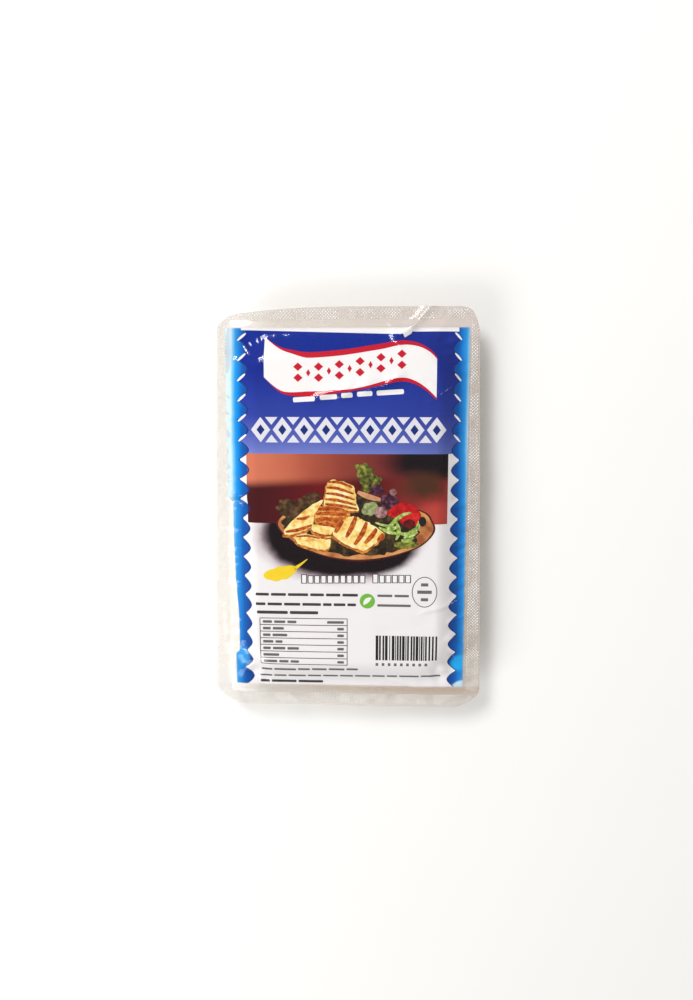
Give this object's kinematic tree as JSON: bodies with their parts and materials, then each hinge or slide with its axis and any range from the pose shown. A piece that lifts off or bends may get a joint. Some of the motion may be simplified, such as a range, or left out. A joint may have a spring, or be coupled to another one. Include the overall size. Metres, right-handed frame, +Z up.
{
  "type": "vacuum-packed halloumi block",
  "caption": "Flat block of halloumi shrunk into a clear film pack with a wide welded rim and a printed label over its front.",
  "frame": {"origin": "middle of the pack's outline, on the surface that its back lies on", "axes": "+X across the pack, +Y along it towards the head of the label, +Z up, out of the printed front"},
  "size_m": [0.1146, 0.1696, 0.02],
  "materials": {
    "film": "clear glossy film, slightly hazy, over pale cream cheese",
    "label": "printed in blue and white under the film, smooth and glossy",
    "cheese": "pale cream, smooth and slightly moist, seen through the film at the back and sides"
  },
  "bodies": {
    "root": {"sealed_pack": "film", "label": "label"}
  },
  "joints": []
}
